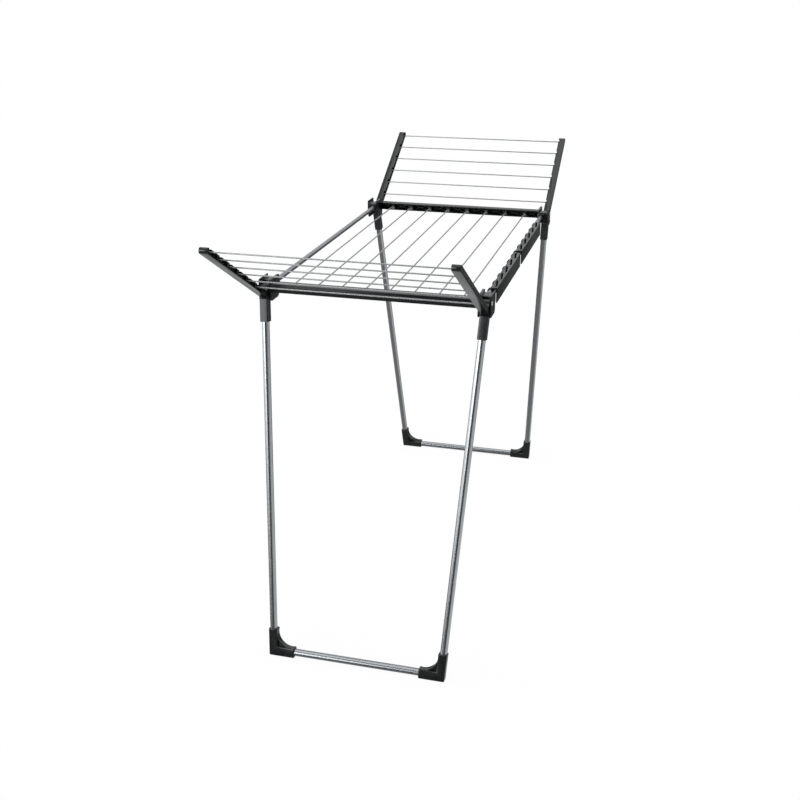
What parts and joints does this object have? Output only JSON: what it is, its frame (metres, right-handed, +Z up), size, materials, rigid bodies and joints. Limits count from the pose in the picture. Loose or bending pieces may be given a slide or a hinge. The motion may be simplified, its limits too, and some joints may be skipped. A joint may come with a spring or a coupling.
{
  "type": "clothes drying rack",
  "caption": "Winged folding clothes airer: lined top frame on splayed tubular legs with corner feet, folding wings of lines, and clip-on hanger strips along a side tube.",
  "frame": {"origin": "on the floor, under the middle of the airer", "axes": "+X across the airer to the side with the holder strips, +Y along it from the near end to the far end, +Z up"},
  "size_m": [0.5932, 1.688, 1.1339],
  "materials": {
    "black_plastic": "moulded black plastic, satin",
    "sleeve_plastic": "moulded dark grey plastic, satin",
    "tube_steel": "silver lacquered steel tube",
    "line_coating": "grey coated steel wire",
    "rivet_steel": "bright rivet steel"
  },
  "bodies": {
    "top_frame": {"near_cross_rail": "black_plastic", "far_cross_rail": "black_plastic", "left_side_tube": "tube_steel", "right_side_tube": "tube_steel", "long_line_1": "line_coating", "long_line_2": "line_coating", "long_line_3": "line_coating", "long_line_4": "line_coating", "long_line_5": "line_coating", "long_line_6": "line_coating", "long_line_7": "line_coating", "long_line_8": "line_coating", "near_side_holder": "black_plastic", "far_side_holder": "black_plastic", "near_left_corner_block": "black_plastic", "near_left_wing_pin": "rivet_steel", "near_left_leg_pin": "black_plastic", "near_right_corner_block": "black_plastic", "near_right_wing_pin": "rivet_steel", "near_right_leg_pin": "black_plastic", "far_left_corner_block": "black_plastic", "far_left_wing_pin": "rivet_steel", "far_left_leg_pin": "black_plastic", "far_right_corner_block": "black_plastic", "far_right_wing_pin": "rivet_steel", "far_right_leg_pin": "black_plastic"},
    "near_wing": {"near_wing_left_arm": "black_plastic", "near_wing_right_arm": "black_plastic", "near_wing_line_1": "line_coating", "near_wing_line_2": "line_coating", "near_wing_line_3": "line_coating", "near_wing_line_4": "line_coating", "near_wing_line_5": "line_coating", "near_wing_line_6": "line_coating"},
    "far_wing": {"far_wing_left_arm": "black_plastic", "far_wing_right_arm": "black_plastic", "far_wing_line_1": "line_coating", "far_wing_line_2": "line_coating", "far_wing_line_3": "line_coating", "far_wing_line_4": "line_coating", "far_wing_line_5": "line_coating", "far_wing_line_6": "line_coating"},
    "near_leg_frame": {"near_left_sleeve": "sleeve_plastic", "near_left_leg_tube": "tube_steel", "near_left_foot": "black_plastic", "near_right_sleeve": "sleeve_plastic", "near_right_leg_tube": "tube_steel", "near_right_foot": "black_plastic", "near_foot_bar": "tube_steel"},
    "far_leg_frame": {"far_left_sleeve": "sleeve_plastic", "far_left_leg_tube": "tube_steel", "far_left_foot": "black_plastic", "far_right_sleeve": "sleeve_plastic", "far_right_leg_tube": "tube_steel", "far_right_foot": "black_plastic", "far_foot_bar": "tube_steel"}
  },
  "joints": [
    {"name": "near_wing_hinge", "type": "hinge", "parent": "top_frame", "child": "near_wing", "pos_m": [0, -0.496, 0.95], "axis": [-1, 0, 0], "range_deg": [0, 149]},
    {"name": "far_wing_hinge", "type": "hinge", "parent": "top_frame", "child": "far_wing", "pos_m": [0, 0.496, 0.95], "axis": [1, 0, 0], "range_deg": [0, 149]},
    {"name": "near_leg_hinge", "type": "hinge", "parent": "top_frame", "child": "near_leg_frame", "pos_m": [0, -0.496, 0.9255], "axis": [1, 0, 0], "range_deg": [0, 101.5]},
    {"name": "far_leg_hinge", "type": "hinge", "parent": "top_frame", "child": "far_leg_frame", "pos_m": [0, 0.496, 0.9255], "axis": [-1, 0, 0], "range_deg": [0, 98.8]}
  ]
}
